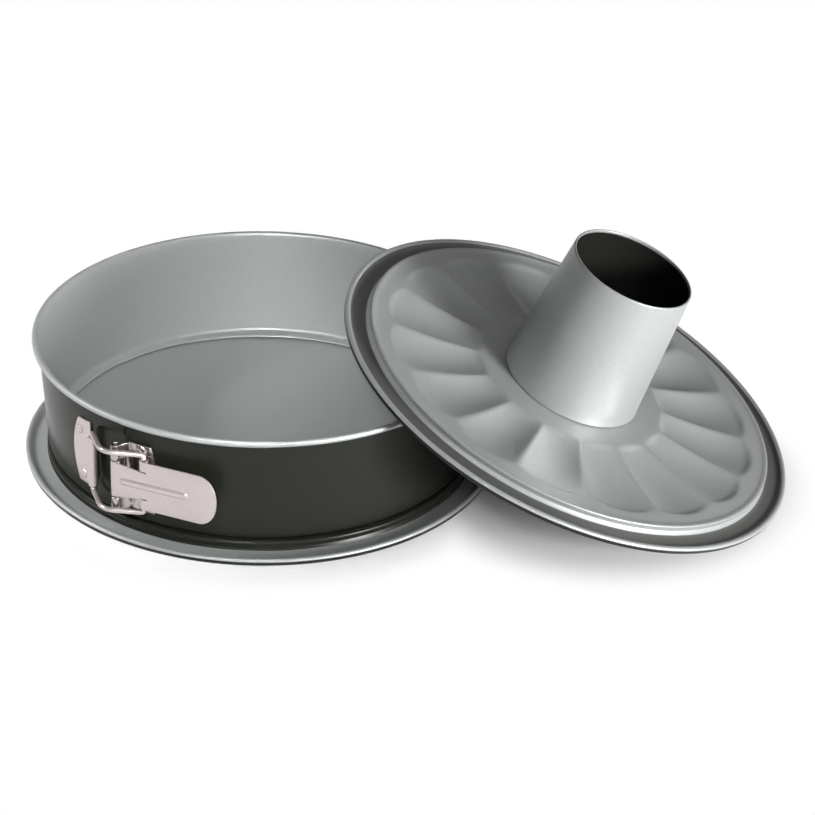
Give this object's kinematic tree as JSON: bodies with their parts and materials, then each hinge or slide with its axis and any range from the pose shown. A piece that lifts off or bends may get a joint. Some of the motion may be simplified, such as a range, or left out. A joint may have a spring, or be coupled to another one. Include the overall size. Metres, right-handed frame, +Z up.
{
  "type": "springform tube pan",
  "caption": "Round springform baking pan with a clasped side band on a flat rimmed base, and a fluted base with a conical centre tube leaning on its rim.",
  "frame": {"origin": "on the table under the centre of the pan's round base", "axes": "+Z up along the pan's axis, +X towards the low side of the leaning tube base"},
  "size_m": [0.4483, 0.2974, 0.15],
  "materials": {
    "base_coat": "satin non-stick coat on pressed steel sheet",
    "band_coat": "dark satin coat outside, grey coat inside, on steel strip",
    "clasp_steel": "bright nickel-plated steel"
  },
  "bodies": {
    "pan": {"flat_base": "base_coat", "band_right": "band_coat", "lever_bracket": "clasp_steel", "bracket_rivet_upper": "clasp_steel", "bracket_rivet_lower": "clasp_steel", "lever_hinge_pin": "clasp_steel"},
    "left_band": {"band_left": "band_coat", "bail_plate": "clasp_steel", "bail_rivet_upper": "clasp_steel", "bail_rivet_lower": "clasp_steel"},
    "bail": {"wire_bail": "clasp_steel"},
    "clasp_lever": {"lever": "clasp_steel"},
    "tube_base": {"tube_base_disc": "base_coat", "centre_tube": "base_coat"}
  },
  "joints": [
    {"name": "lever_swing", "type": "hinge", "parent": "pan", "child": "clasp_lever", "pos_m": [-0.04965, -0.12714, 0.0392], "axis": [0, 0, -1], "range_deg": [0, 90]},
    {"name": "band_flex", "type": "hinge", "parent": "pan", "child": "left_band", "pos_m": [0.04911, 0.12532, 0.0392], "axis": [0, 0, -1], "range_deg": [0, 1.22]},
    {"name": "bail_swing", "type": "hinge", "parent": "left_band", "child": "bail", "pos_m": [-0.0675, -0.11355, 0.0392], "axis": [0, 0, -1], "range_deg": [0, 33]},
    {"name": "tube_base_tip", "type": "hinge", "parent": "pan", "child": "tube_base", "pos_m": [0.30733, 0.017, 0.0003], "axis": [0, 1, 0], "range_deg": [0, 60]}
  ],
  "couplings": [
    {"joint": "band_flex", "follows": "lever_swing", "ratio": 0.013516},
    {"joint": "bail_swing", "follows": "lever_swing", "ratio": 0.3659}
  ]
}
